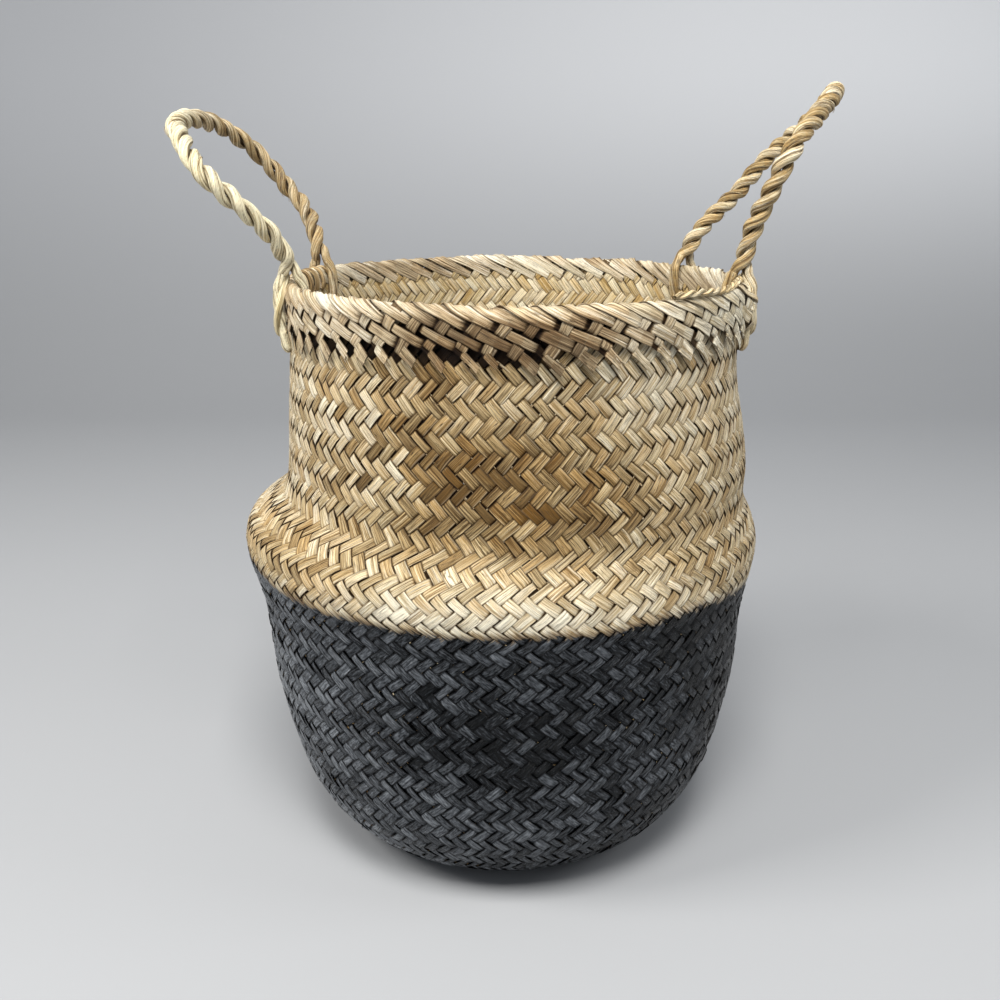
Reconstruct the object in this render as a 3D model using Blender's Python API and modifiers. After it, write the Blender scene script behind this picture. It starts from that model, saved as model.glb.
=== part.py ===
"""Belly basket: a woven bowl, a rolled shoulder, a straight neck, a folded rim band and two rope handles.

Units are metres. +Z is up, +Y is the back, and the origin is the centre of the underside.
The neck can be pushed down into the belly, so the wall is split where the real weave folds.
"""
import math

import bmesh
import bpy
from mathutils import Matrix, Vector

# Overall sizes
RIM_HEIGHT = 0.293
BASE_RADIUS = 0.074
BELLY_RADIUS = 0.1325
PAINT_HEIGHT = 0.1575
NECK_FOOT_HEIGHT = 0.1965
NECK_FOOT_RADIUS = 0.1184
NECK_RADIUS = 0.1108
NECK_SHIFT = 0.0045
WALL = 0.0024
SEAT_GAP = 0.0003

# Rim band, folded over the top edge of the neck
BAND_HEIGHT = 0.025
INNER_FLAP_HEIGHT = 0.026
FLAP = 0.0020
BEAD_PROUD = 0.0007

# Two-ply rope, with a short untwisted lead at the foot of each leg
PLY_RADIUS = 0.0020
PLY_OFFSET = 0.0024
PLY_LEAD = 0.0045

# Where the handles meet the rim
PIVOT_RISE = 0.0092
STRAP_GAP = 0.0005
HOLE_CLEARANCE = 0.0005
STRAP_DROP = 0.0005

# One row for each handle: name, outward side, azimuths of its front and back legs from the front in
# degrees, half width at its widest, how far its tip stands out and up, and the length of a full twist
HANDLES = (
    ("left", -1, -73.0, -112.0, 0.0590, 0.0560, 0.0646, 0.0235),
    ("right", 1, 75.5, 121.5, 0.0555, 0.0645, 0.0769, 0.0195),
)

# Outlines as shares: height share, then radius share
BELLY_SHARES = (
    (0.0, 0.0), (0.035, 0.16), (0.13, 0.455), (0.29, 0.69), (0.55, 0.83), (0.85, 0.91), (1.0, 0.985),
)
SHOULDER_SHARES = (
    (0.0, 0.943), (0.20, 1.0), (0.36, 0.965), (0.52, 0.735), (0.67, 0.37), (0.82, 0.10), (1.0, 0.0),
)
NECK_SHARES = ((0.0, 1.0), (0.36, 0.49), (0.72, 0.09), (1.0, 0.0))
# Route of each loop from its front leg to its back leg. A row is four shares: of the distance from the
# middle to a leg, of the spread beyond the leg, of the reach outward and of the rise.
ROUTE_SHARES = {
    "left": (
        (-1.0, 0.0, 0.0, 0.0), (-1.0, 0.0, 0.0, 0.045), (-1.0, -0.13, 0.032, 0.116),
        (-1.0, -0.41, 0.089, 0.198), (-1.0, -0.61, 0.152, 0.277), (-1.0, -0.89, 0.298, 0.421),
        (-1.0, -1.0, 0.459, 0.553), (-1.0, -0.89, 0.62, 0.698), (-1.0, -0.63, 0.698, 0.776),
        (-1.0, -0.15, 0.807, 0.862), (-0.68, 0.0, 0.927, 0.926), (-0.216, 0.0, 0.993, 0.974),
        (0.221, 0.0, 0.991, 1.0), (0.607, 0.0, 0.948, 0.995), (0.954, 0.0, 0.877, 0.954),
        (1.0, 0.38, 0.779, 0.881), (1.0, 0.705, 0.661, 0.777), (1.0, 0.95, 0.443, 0.553),
        (1.0, 0.73, 0.223, 0.342), (1.0, 0.35, 0.10, 0.186), (1.0, 0.10, 0.030, 0.104),
        (1.0, 0.0, 0.0, 0.045), (1.0, 0.0, 0.0, 0.0),
    ),
    "right": (
        (-1.0, 0.0, 0.0, 0.0), (-1.0, 0.0, 0.0, 0.038), (-1.0, -0.06, 0.025, 0.098),
        (-1.0, -0.38, 0.067, 0.263), (-1.0, -0.79, 0.122, 0.424), (-1.0, -1.0, 0.192, 0.58),
        (-1.0, -0.69, 0.319, 0.73), (-0.897, 0.0, 0.53, 0.865), (-0.642, 0.0, 0.66, 0.927),
        (-0.362, 0.0, 0.781, 0.979), (-0.079, 0.0, 0.881, 1.0), (0.236, 0.0, 0.96, 0.992),
        (0.532, 0.0, 1.0, 0.948), (0.782, 0.0, 0.997, 0.876), (1.0, 0.24, 0.874, 0.731),
        (1.0, 0.49, 0.699, 0.59), (1.0, 0.42, 0.529, 0.425), (1.0, 0.21, 0.324, 0.264),
        (1.0, 0.10, 0.19, 0.183), (1.0, 0.0, 0.062, 0.094), (1.0, 0.0, 0.0, 0.038),
        (1.0, 0.0, 0.0, 0.0),
    ),
}
# Upper end of a strap, from the bead to the hinge line: share of the strap's distance from the wall,
# share of the rope's half width along the hinge line, then height share
STRAP_SHARES = ((1.0, 0.0, 0.0), (0.86, 0.25, 0.42), (0.54, 0.79, 0.75), (0.0, 1.0, 1.0))
# Rounded end of a ply: share of its radius beyond the path's end, then share of its full width
END_SHARES = ((0.62, 0.78), (0.94, 0.34))

# Facets
TURN_STEPS = 54
SPAN_STEPS = 2
LOOP_SPAN_STEPS = 8
BEAD_STEPS = 4
BEND_STEPS = 4
HOLE_SIDES = 12
PLY_STEP = 0.0033
PLY_BEVEL_RESOLUTION = 1
MERGE_DISTANCE = SEAT_GAP * 0.01

STRAW = (0.70, 0.55, 0.33, 1.0)
STRAW_PALE = (0.78, 0.64, 0.40, 1.0)
ROPE_STRAW = (0.66, 0.53, 0.34, 1.0)
BLACK_PAINT = (0.022, 0.023, 0.026, 1.0)


def clear_scene():
    """Remove what the scene holds."""
    for item in list(bpy.data.objects):
        bpy.data.objects.remove(item, do_unlink=True)


def new_collection(name):
    """Make a collection under the scene's own."""
    made = bpy.data.collections.new(name)
    bpy.context.scene.collection.children.link(made)
    return made


clear_scene()
BASKET = new_collection("belly_basket")
CUTTERS = new_collection("cutters")


def finish(name, color, roughness):
    """Make a plain Principled material."""
    made = bpy.data.materials.new(name)
    made.use_nodes = True
    shader = made.node_tree.nodes["Principled BSDF"]
    shader.inputs["Base Color"].default_value = color
    shader.inputs["Roughness"].default_value = roughness
    shader.inputs["Metallic"].default_value = 0.0
    made.diffuse_color = color
    return made


def smooth_path(points, steps):
    """Return a Catmull-Rom curve through the points, with so many steps in each span."""
    vectors = [Vector(point) for point in points]
    first = 2.0 * vectors[0] - vectors[1]
    last = 2.0 * vectors[-1] - vectors[-2]
    padded = [first] + vectors + [last]
    path = []
    for index in range(1, len(padded) - 2):
        p0, p1, p2, p3 = padded[index - 1:index + 3]
        for step in range(steps):
            t = step / steps
            bend = (2.0 * p0 - 5.0 * p1 + 4.0 * p2 - p3) * t * t
            twist = (3.0 * p1 - p0 - 3.0 * p2 + p3) * t * t * t
            path.append(0.5 * (2.0 * p1 + (p2 - p0) * t + bend + twist))
    path.append(vectors[-1])
    return path


def inward(profile, distance):
    """Return a profile moved towards the axis side of an outline that rises from foot to top."""
    moved = []
    for index, point in enumerate(profile):
        before = profile[max(index - 1, 0)]
        after = profile[min(index + 1, len(profile) - 1)]
        along = (after - before).normalized()
        moved.append(point + Vector((-along.y, along.x)) * distance)
    return moved


def outline(shares, foot, height, low_radius, high_radius):
    """Scale a table of shares into an outline of (radius, height) points, foot first."""
    scaled = [(low_radius + (high_radius - low_radius) * r, foot + height * h) for h, r in shares]
    return smooth_path(scaled, SPAN_STEPS)


def belly_outline():
    """Outer outline of the bowl, from the rim of the flat base to the paint line."""
    return outline(BELLY_SHARES, 0.0, PAINT_HEIGHT, BASE_RADIUS, BELLY_RADIUS)


def shoulder_outline():
    """Outer outline of the rolled shoulder, from the paint line to the foot of the neck."""
    foot = PAINT_HEIGHT + SEAT_GAP
    rise = NECK_FOOT_HEIGHT - SEAT_GAP - foot
    return outline(SHOULDER_SHARES, foot, rise, NECK_FOOT_RADIUS, BELLY_RADIUS)


def neck_top():
    """Height of the neck's top edge, under the fold of the band."""
    return RIM_HEIGHT - FLAP - BEAD_PROUD - SEAT_GAP


def neck_outline():
    """Outer outline of the neck wall."""
    rise = neck_top() - NECK_FOOT_HEIGHT
    return outline(NECK_SHARES, NECK_FOOT_HEIGHT, rise, NECK_RADIUS, NECK_FOOT_RADIUS)


NECK_LINE = neck_outline()


def neck_radius(height):
    """Outer radius of the neck wall at a height, straight up beyond its ends."""
    if height >= NECK_LINE[-1].y:
        return NECK_LINE[-1].x
    for low, high in zip(NECK_LINE, NECK_LINE[1:]):
        if height <= high.y:
            share = max((height - low.y) / (high.y - low.y), 0.0)
            return low.x + (high.x - low.x) * share
    return NECK_LINE[-1].x


def wall_middle(height):
    """Radius of the middle of the neck wall at a height."""
    return neck_radius(height) - WALL / 2.0


def turned(name, profile, closed, material):
    """Turn an outline of (radius, height) points about Z with a Screw modifier."""
    mesh = bpy.data.meshes.new(name)
    points = [(point.x, 0.0, point.y) for point in profile]
    edges = [(index, index + 1) for index in range(len(points) - 1)]
    if closed:
        edges.append((len(points) - 1, 0))
    mesh.from_pydata(points, edges, [])
    made = bpy.data.objects.new(name, mesh)
    BASKET.objects.link(made)
    screw = made.modifiers.new("Turn", "SCREW")
    screw.steps = TURN_STEPS
    screw.render_steps = TURN_STEPS
    screw.use_merge_vertices = True
    screw.merge_threshold = MERGE_DISTANCE
    screw.use_smooth_shade = True
    mesh.materials.append(material)
    return made


def evaluated_copy(source, name, collection):
    """Replace an object by a plain mesh of what its modifiers or bevel make."""
    depsgraph = bpy.context.evaluated_depsgraph_get()
    mesh = bpy.data.meshes.new_from_object(source.evaluated_get(depsgraph))
    made = bpy.data.objects.new(name, mesh)
    made.matrix_world = source.matrix_world.copy()
    collection.objects.link(made)
    bpy.data.objects.remove(source, do_unlink=True)
    mesh.name = name
    made.name = name
    return made


def pivot(name, place, parent):
    """Make an empty on a joint's axis."""
    made = bpy.data.objects.new(name, None)
    made.empty_display_size = WALL
    made.location = place
    BASKET.objects.link(made)
    if parent is not None:
        made.parent = parent
        made.location = place - parent.location
    return made


def carry(piece, axis_point, axis_place):
    """Parent a piece to the empty on its joint's axis, without moving it."""
    bpy.context.view_layer.update()
    piece.parent = axis_point
    piece.matrix_parent_inverse = Matrix.Translation(-axis_place)


def make_belly(material):
    """Bowl with a flat base: one closed shell from the paint line down."""
    outer = belly_outline()
    inner = inward(outer, WALL)
    inner = [point for point in inner if point.y > WALL and point.x < outer[-1].x]
    inner[-1] = Vector((inner[-1].x, PAINT_HEIGHT))
    floor_edge = Vector((inner[0].x - WALL, WALL))
    profile = [Vector((0.0, WALL)), floor_edge] + inner
    profile += list(reversed(outer))
    profile.append(Vector((0.0, 0.0)))
    return turned("belly_shell", profile, False, material)


def shell_profile(outer):
    """Closed section of a wall between level top and foot edges: outer side down, inner side up."""
    inner = inward(outer, WALL)
    inner[0] = Vector((outer[0].x - WALL, outer[0].y))
    inner[-1] = Vector((outer[-1].x - WALL, outer[-1].y))
    return list(reversed(outer)) + inner


def ease(share):
    """Smooth step from zero to one."""
    held = min(max(share, 0.0), 1.0)
    return held * held * (3.0 - 2.0 * held)


def make_shoulder(material):
    """Rolled ring between belly and neck, whose centre moves over from one to the other."""
    ring = turned("shoulder_turned", shell_profile(shoulder_outline()), True, material)
    made = evaluated_copy(ring, "shoulder_fold", BASKET)
    foot = PAINT_HEIGHT + SEAT_GAP
    rise = NECK_FOOT_HEIGHT - SEAT_GAP - foot
    for vertex in made.data.vertices:
        vertex.co.x += NECK_SHIFT * ease((vertex.co.z - foot) / rise)
    made.data.shade_smooth()
    return made


def strap_turn_height():
    """Height of the centre of a strap's bend, low enough for it to pass under both flaps."""
    foot = RIM_HEIGHT - max(BAND_HEIGHT, INNER_FLAP_HEIGHT)
    bead = band_side() + BEAD_PROUD
    return foot + math.sqrt(bead * bead - band_side() * band_side()) - STRAP_DROP


def strap_pass_height():
    """Height at which the strap's middle passes through the neck wall, just under the band."""
    return strap_turn_height() - strap_side()


def leg_frame(azimuth):
    """Radial direction and direction round the rim at an azimuth from the front, in degrees."""
    angle = math.radians(azimuth)
    radial = Vector((math.sin(angle), -math.cos(angle), 0.0))
    along = Vector((math.cos(angle), math.sin(angle), 0.0))
    return radial, along


def hole_cutter(name, azimuth):
    """Radial drill for the strap's hole."""
    radial, _ = leg_frame(azimuth)
    height = strap_pass_height()
    reach = (strap_side() + PLY_RADIUS) * 2.0
    bpy.ops.mesh.primitive_cylinder_add(
        vertices=HOLE_SIDES,
        radius=PLY_RADIUS + HOLE_CLEARANCE,
        depth=reach,
    )
    cutter = bpy.context.object
    cutter.name = name
    cutter.rotation_euler = radial.to_track_quat("Z", "Y").to_euler()
    centre = radial * wall_middle(height)
    cutter.location = Vector((NECK_SHIFT + centre.x, centre.y, height))
    for owner in list(cutter.users_collection):
        owner.objects.unlink(cutter)
    CUTTERS.objects.link(cutter)
    cutter.hide_render = True
    cutter.display_type = "WIRE"
    return cutter


def make_neck(material):
    """Neck wall with a hole for each leg of the handles."""
    made = turned("neck_wall", shell_profile(NECK_LINE), True, material)
    made.location.x = NECK_SHIFT
    for name, _, front, back, _, _, _, _ in HANDLES:
        for leg, azimuth in (("front", front), ("back", back)):
            cut = made.modifiers.new("Hole " + name + " " + leg, "BOOLEAN")
            cut.operation = "DIFFERENCE"
            cut.solver = "EXACT"
            cut.object = hole_cutter("hole_" + name + "_" + leg, azimuth)
    return made


def band_side():
    """Distance from the middle of the wall to the outer face of a flap."""
    return WALL / 2.0 + SEAT_GAP + FLAP


def make_band(material):
    """Band folded over the neck's top edge, with a fuller bead along the fold."""
    slot = WALL / 2.0 + SEAT_GAP
    bead = band_side() + BEAD_PROUD
    bead_height = RIM_HEIGHT - bead
    top_middle = wall_middle(RIM_HEIGHT)
    arc = []
    for step in range(BEAD_STEPS * 2 + 1):
        angle = math.pi * (0.5 - step / (BEAD_STEPS * 2))
        arc.append((math.sin(angle), math.cos(angle)))
    bead_line = [Vector((top_middle + bead * out, bead_height + bead * up)) for out, up in arc]
    outer_arc = list(reversed(bead_line[:BEAD_STEPS + 1]))
    inner_arc = list(reversed(bead_line[BEAD_STEPS:]))
    outer_foot = RIM_HEIGHT - BAND_HEIGHT
    inner_foot = RIM_HEIGHT - INNER_FLAP_HEIGHT
    waist = bead_height - bead

    def face(height, offset):
        return Vector((wall_middle(height) + offset, height))

    profile = list(outer_arc)
    profile.append(face(waist, band_side()))
    profile.append(face(outer_foot, band_side()))
    profile.append(face(outer_foot, slot))
    profile.append(face(waist, slot))
    profile.append(face(neck_top() + SEAT_GAP, slot))
    profile.append(face(neck_top() + SEAT_GAP, -slot))
    profile.append(face(waist, -slot))
    profile.append(face(inner_foot, -slot))
    profile.append(face(inner_foot, -band_side()))
    profile.append(face(waist, -band_side()))
    profile += inner_arc[:-1]
    made = turned("rim_band", profile, True, material)
    made.location.x = NECK_SHIFT
    return made


def strap_side():
    """Distance from the middle of the wall to the middle of a strap's outer or inner run."""
    return band_side() + BEAD_PROUD + STRAP_GAP + PLY_RADIUS


def pivot_height():
    """Height of the handles' hinge lines."""
    return RIM_HEIGHT + PIVOT_RISE


def tube(name, path, material):
    """Sweep a round ply along a path, with rounded ends about the path's own ends."""
    before = (path[0] - path[1]).normalized() * PLY_RADIUS
    after = (path[-1] - path[-2]).normalized() * PLY_RADIUS
    rows = [(path[0] + before * reach, width) for reach, width in reversed(END_SHARES)]
    rows += [(place, 1.0) for place in path]
    rows += [(path[-1] + after * reach, width) for reach, width in END_SHARES]
    curve = bpy.data.curves.new(name, "CURVE")
    curve.dimensions = "3D"
    curve.bevel_depth = PLY_RADIUS
    curve.bevel_resolution = PLY_BEVEL_RESOLUTION
    curve.use_fill_caps = True
    spline = curve.splines.new("POLY")
    spline.points.add(len(rows) - 1)
    for point, (place, width) in zip(spline.points, rows):
        point.co = (place.x, place.y, place.z, 1.0)
        point.radius = width
    source = bpy.data.objects.new(name + "_curve", curve)
    BASKET.objects.link(source)
    made = evaluated_copy(source, name, BASKET)
    cleaned = bmesh.new()
    cleaned.from_mesh(made.data)
    bmesh.ops.remove_doubles(cleaned, verts=cleaned.verts, dist=MERGE_DISTANCE)
    bmesh.ops.recalc_face_normals(cleaned, faces=cleaned.faces)
    cleaned.to_mesh(made.data)
    cleaned.free()
    made.data.shade_smooth()
    made.data.materials.clear()
    made.data.materials.append(material)
    return made


def strap_top_height():
    """Height of the centre of a strap's rounded end, which stands just clear under a ply's own."""
    return pivot_height() - PLY_RADIUS * 2.0 - SEAT_GAP


def half_strap():
    """Offsets (out from the wall, along the hinge line, height) from a strap's end to its lowest point."""
    side = strap_side()
    bead_height = RIM_HEIGHT - band_side() - BEAD_PROUD
    turn_height = strap_turn_height()
    rise = strap_top_height() - bead_height
    shaped = []
    for out, aside, up in reversed(STRAP_SHARES):
        shaped.append((side * out, PLY_OFFSET * aside, bead_height + rise * up))
    shaped.append((side, 0.0, turn_height))
    points = smooth_path(shaped, SPAN_STEPS)
    for step in range(1, BEND_STEPS + 1):
        angle = math.pi / 2.0 * step / BEND_STEPS
        points.append(Vector((side * math.cos(angle), 0.0, turn_height - side * math.sin(angle))))
    return points


def strap_path(azimuth, across):
    """Path of one strap: down outside the band, through the wall and up inside, a quarter turn at each end."""
    radial, along = leg_frame(azimuth)
    hinge_line = across if across.dot(along) > 0.0 else -across
    half = half_strap()
    full = half + [Vector((-point.x, -point.y, point.z)) for point in reversed(half[:-1])]
    path = []
    for out, aside, height in full:
        flat = radial * (wall_middle(height) + out) + hinge_line * aside
        path.append(Vector((NECK_SHIFT + flat.x, flat.y, height)))
    return path


def leg_place(azimuth):
    """Where a leg of a handle meets its hinge line."""
    radial, _ = leg_frame(azimuth)
    flat = radial * wall_middle(pivot_height())
    return Vector((NECK_SHIFT + flat.x, flat.y, pivot_height()))


def loop_frame(row):
    """Middle of a handle's hinge line, its unit direction front to back, outward direction, half chord."""
    _, side, front, back, _, _, _, _ = row
    front_place = leg_place(front)
    back_place = leg_place(back)
    middle = (front_place + back_place) / 2.0
    across = (back_place - front_place).normalized()
    outward = across.cross(Vector((0.0, 0.0, 1.0))).normalized()
    if outward.x * side < 0.0:
        outward = -outward
    return middle, across, outward, (back_place - front_place).length / 2.0


def loop_centre(row):
    """Centre line of a handle's loop, and a direction square to it that is carried without turning."""
    name, _, _, _, half_width, reach, rise, _ = row
    middle, across, outward, half_chord = loop_frame(row)
    spread = half_width - half_chord
    route = []
    for leg, beyond, out, up in ROUTE_SHARES[name]:
        flat = across * (half_chord * leg + spread * beyond) + outward * reach * out
        route.append(middle + flat + Vector((0.0, 0.0, rise * up)))
    centre = smooth_path(route, LOOP_SPAN_STEPS)
    facing = [outward]
    for low, high in zip(centre, centre[1:]):
        along = (high - low).normalized()
        facing.append((facing[-1] - along * facing[-1].dot(along)).normalized())
    return centre, facing


def even_steps(path, facing, count):
    """Sample a path and its facing directions at equal lengths."""
    travelled = [0.0]
    for low, high in zip(path, path[1:]):
        travelled.append(travelled[-1] + (high - low).length)
    samples = []
    index = 0
    for step in range(count + 1):
        target = travelled[-1] * step / count
        while index < len(path) - 2 and travelled[index + 1] < target:
            index += 1
        share = (target - travelled[index]) / (travelled[index + 1] - travelled[index])
        place = path[index].lerp(path[index + 1], share)
        tangent = (path[index + 1] - path[index]).normalized()
        outward = facing[index].lerp(facing[index + 1], share)
        samples.append((place, tangent, outward))
    return samples, travelled[-1]


def end_turn(tangent, carried, outward):
    """Angle that brings the direction carried to a loop's end round to the one the strap needs."""
    lateral = tangent.cross(carried).normalized()
    normal = lateral.cross(tangent).normalized()
    wanted = tangent.cross(outward).normalized()
    return math.atan2(wanted.dot(normal), wanted.dot(lateral))


def ply_path(row, phase):
    """Right-hand helix of one ply about the loop's centre line, with whole half turns between the leads."""
    centre, facing = loop_centre(row)
    pitch = row[-1]
    length = even_steps(centre, facing, 1)[1]
    twisted = length - PLY_LEAD * 2.0
    half_turns = max(round(2.0 * twisted / pitch), 1)
    count = round(length / PLY_STEP)
    samples, _ = even_steps(centre, facing, count)
    correction = end_turn(samples[-1][1], samples[-1][2], loop_frame(row)[2])
    path = []
    for step, (place, tangent, outward) in enumerate(samples):
        lateral = tangent.cross(outward).normalized()
        normal = lateral.cross(tangent).normalized()
        turned_share = min(max((length * step / count - PLY_LEAD) / twisted, 0.0), 1.0)
        angle = phase + (correction - math.pi * half_turns) * turned_share
        path.append(place + (lateral * math.cos(angle) + normal * math.sin(angle)) * PLY_OFFSET)
    return path


def least_gap(first, second):
    """Least distance between the surfaces of two plies, measured between their path points."""
    nearest = min((a - b).length for a in first for b in second)
    return nearest - 2.0 * PLY_RADIUS


def make_handle(row, neck_point, neck_place, material):
    """One handle: two twisted plies on a hinge line, and the two straps that hold them."""
    name, _, front, back, _, _, _, _ = row
    middle, across, _, _ = loop_frame(row)
    hinge = pivot("handle_" + name + "_hinge", middle, neck_point)
    paths = [ply_path(row, phase) for phase in (0.0, math.pi)]
    for letter, path in zip("ab", paths):
        ply = tube("handle_" + name + "_ply_" + letter, path, material)
        carry(ply, hinge, middle)
    for leg, azimuth in (("front", front), ("back", back)):
        strap = tube("strap_" + name + "_" + leg, strap_path(azimuth, across), material)
        carry(strap, neck_point, neck_place)
    print("handle", name, "hinge at", tuple(round(value, 5) for value in middle))
    print("handle", name, "least gap between plies", round(least_gap(*paths), 5))


def make_basket():
    """Build every piece."""
    black = finish("black_painted_seagrass", BLACK_PAINT, 0.42)
    pale = finish("pale_seagrass", STRAW_PALE, 0.62)
    straw = finish("seagrass", STRAW, 0.64)
    band_straw = finish("rim_seagrass", STRAW, 0.60)
    rope = finish("rope_seagrass", ROPE_STRAW, 0.58)
    make_belly(black)
    make_shoulder(pale)
    neck_place = Vector((NECK_SHIFT, 0.0, NECK_FOOT_HEIGHT))
    neck_point = pivot("neck_slide", neck_place, None)
    neck = make_neck(straw)
    carry(neck, neck_point, neck_place)
    band = make_band(band_straw)
    carry(band, neck_point, neck_place)
    for row in HANDLES:
        make_handle(row, neck_point, neck_place, rope)


make_basket()
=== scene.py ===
"""Belly basket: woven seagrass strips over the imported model, a folded rim, two rope handles and a studio."""
import math

import bpy
import numpy as np
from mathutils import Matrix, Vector


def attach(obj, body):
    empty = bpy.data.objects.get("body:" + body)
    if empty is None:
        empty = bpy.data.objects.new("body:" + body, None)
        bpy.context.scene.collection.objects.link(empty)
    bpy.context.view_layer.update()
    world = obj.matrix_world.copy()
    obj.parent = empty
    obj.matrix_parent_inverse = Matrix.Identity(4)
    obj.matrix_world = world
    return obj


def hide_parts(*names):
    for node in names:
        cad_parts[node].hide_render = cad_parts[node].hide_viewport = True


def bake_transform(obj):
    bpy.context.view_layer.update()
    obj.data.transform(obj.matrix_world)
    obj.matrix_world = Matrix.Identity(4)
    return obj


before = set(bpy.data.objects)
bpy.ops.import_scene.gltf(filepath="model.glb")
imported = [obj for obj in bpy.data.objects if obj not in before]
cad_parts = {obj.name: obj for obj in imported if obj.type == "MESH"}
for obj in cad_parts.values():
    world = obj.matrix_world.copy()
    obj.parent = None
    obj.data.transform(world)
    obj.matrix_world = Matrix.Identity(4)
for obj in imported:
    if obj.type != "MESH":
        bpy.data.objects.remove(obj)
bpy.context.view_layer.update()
MM = 0.001
# A full turn, as the random phases take it
TURN = 6.283

# Outline of the wall, foot first: height, outer radius and sideways shift of the centre, in millimetres
WALL_TABLE = np.array((
    (1.3, 72.0, 0.0), (1.9, 78.0, 0.0), (6.4, 84.2, 0.0), (20.6, 100.6, 0.0), (46.2, 114.2, 0.0),
    (87.4, 122.8, 0.0), (133.6, 127.0, -0.2), (150.0, 130.2, -0.7), (161.8, 132.6, -1.6), (170.0, 132.2, -2.4),
    (176.5, 129.6, -2.0), (182.5, 124.6, 0.6), (188.0, 120.6, 3.2), (195.0, 118.6, 5.4), (205.0, 117.8, 6.3),
    (221.0, 115.8, 5.8), (246.6, 112.6, 4.2), (268.0, 111.4, 4.2), (289.5, 110.9, 4.4),
))
# Steps between two rows of a smoothed table
CURVE_STEPS = 12

# Half the wall's thickness, the lowest height of a point, the number of strips each way, the angle from one to the
# next, and how far a strip travels while two of the other way pass
WALL_HALF = 1.2
FLOOR_GAP = 0.15
STRIPS = 108
STRIP_ANGLE = 2 * math.pi / STRIPS
STRIP_CELL = 9.84

# Radius of the wall at the rim, and the sideways shift of the rim's centre
RIM_WALL = 110.9
RIM_SHIFT = 4.4

# Height above the paint's edge that is given to strips without paint
UNPAINTED = 60.0

# Height of the paint's edge by azimuth from the front, in degrees and millimetres
PAINT_TABLE = np.array((
    (-180, 155.0), (-120, 160.0), (-90, 164.0), (-75, 164.5), (-55, 160.0), (-45, 158.0), (0, 157.3),
    (40, 157.0), (52, 154.0), (73, 146.5), (95, 146.0), (125, 150.0), (180, 155.0),
))

# How light the paint is by azimuth: painted sheen on the left, painted shade at the right edge
PAINT_SHEEN_AND_SHADE = np.array((
    (-150, 0.0), (-60, 0.80), (-20, 0.16), (30, -0.26), (52, -0.50), (72, -1.9), (95, -1.2), (150, 0.0),
))


def smooth_table(table):
    """Catmull-Rom through the rows of a table."""
    padded = np.vstack((2 * table[0] - table[1], table, 2 * table[-1] - table[-2]))
    rows = []
    for index in range(1, len(padded) - 2):
        p0, p1, p2, p3 = padded[index - 1:index + 3]
        for t in np.arange(CURVE_STEPS) / CURVE_STEPS:
            rows.append(0.5 * (2 * p1 + (p2 - p0) * t + (2 * p0 - 5 * p1 + 4 * p2 - p3) * t * t
                               + (3 * p1 - p0 - 3 * p2 + p3) * t ** 3))
    rows.append(table[-1])
    return np.array(rows)


def read_table(table, value):
    """Value of a table with two columns, between its rows."""
    return np.interp(value, table[:, 0], table[:, 1])


def arc_lengths(points):
    """Distance travelled at each point of a path."""
    steps = np.linalg.norm(np.diff(points, axis=0), axis=1)
    return np.concatenate(((0.0,), np.cumsum(steps)))


def waves(a, b, seed, count, low, high):
    """Smooth noise about zero on two coordinates, the first one periodic in radians."""
    rng = np.random.default_rng(seed)
    total = np.zeros(np.broadcast(a, b).shape)
    for _ in range(count):
        around = rng.integers(low, high + 1)
        along = rng.uniform(-high, high)
        total = total + np.sin(around * a + along * b + rng.uniform(0, TURN))
    return total / math.sqrt(count)


def signed_degrees(phi):
    """Azimuth from the front in degrees, from -180 to 180, of an angle in radians."""
    return (np.degrees(phi) + 180.0) % 360.0 - 180.0


def bell(value, middle, width, power=2):
    """One at the middle, falling away to nought on both sides."""
    return np.exp(-np.abs((value - middle) / width) ** power)


def soft_step(value, low, high):
    """Smooth step from nought at low to one at high."""
    t = np.clip((value - low) / (high - low), 0, 1)
    return t * t * (3 - 2 * t)


def wall_sway(phi, z_mm):
    """Slow in and out of the whole wall, in millimetres."""
    return waves(phi, z_mm * 0.02, 5, 7, 1, 5) * 0.55


class Wall:
    """The wall's middle surface, by azimuth in radians and weave height."""

    def __init__(self):
        line = smooth_table(WALL_TABLE)
        self.z = line[:, 0]
        self.r = line[:, 1]
        self.shift = line[:, 2]
        v = arc_lengths(line[:, :2])
        tangent = np.gradient(line[:, :2], v, axis=0)
        tangent /= np.linalg.norm(tangent, axis=1)[:, None]
        # the tangent is (dz, dr), so the outward normal in (r, z) is (dz, -dr)
        self.nr = tangent[:, 0]
        self.nz = -tangent[:, 1]
        spacing = 2 * math.pi * self.r / STRIPS
        rise = np.sqrt(np.maximum(STRIP_CELL ** 2 - spacing ** 2, 9.0))
        self.w = np.concatenate(((0.0,), np.cumsum(np.diff(v) / (0.5 * (rise[1:] + rise[:-1])))))
        self.rise = rise
        self.spacing = spacing

    def at(self, w, table):
        return np.interp(w, self.w, table)

    def place(self, phi, w, lift):
        """World positions in metres of points lifted outward from the wall's middle, by millimetres."""
        r = self.at(w, self.r) - WALL_HALF
        z = self.at(w, self.z)
        nr = self.at(w, self.nr)
        nz = self.at(w, self.nz)
        grounded = np.clip((z - 4.0) / 40.0, 0, 1)
        lift = lift + wall_sway(phi, z) * grounded
        radius = r + lift * nr
        x = radius * np.sin(phi) + self.at(w, self.shift)
        y = -radius * np.cos(phi)
        return np.stack((x, y, np.maximum(z + lift * nz, FLOOR_GAP)), axis=-1) * MM


WALL = Wall()


def paint_distance(phi, z_mm):
    """Height above the paint's edge, in millimetres."""
    degrees = signed_degrees(phi)
    return z_mm - read_table(PAINT_TABLE, degrees)


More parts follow.
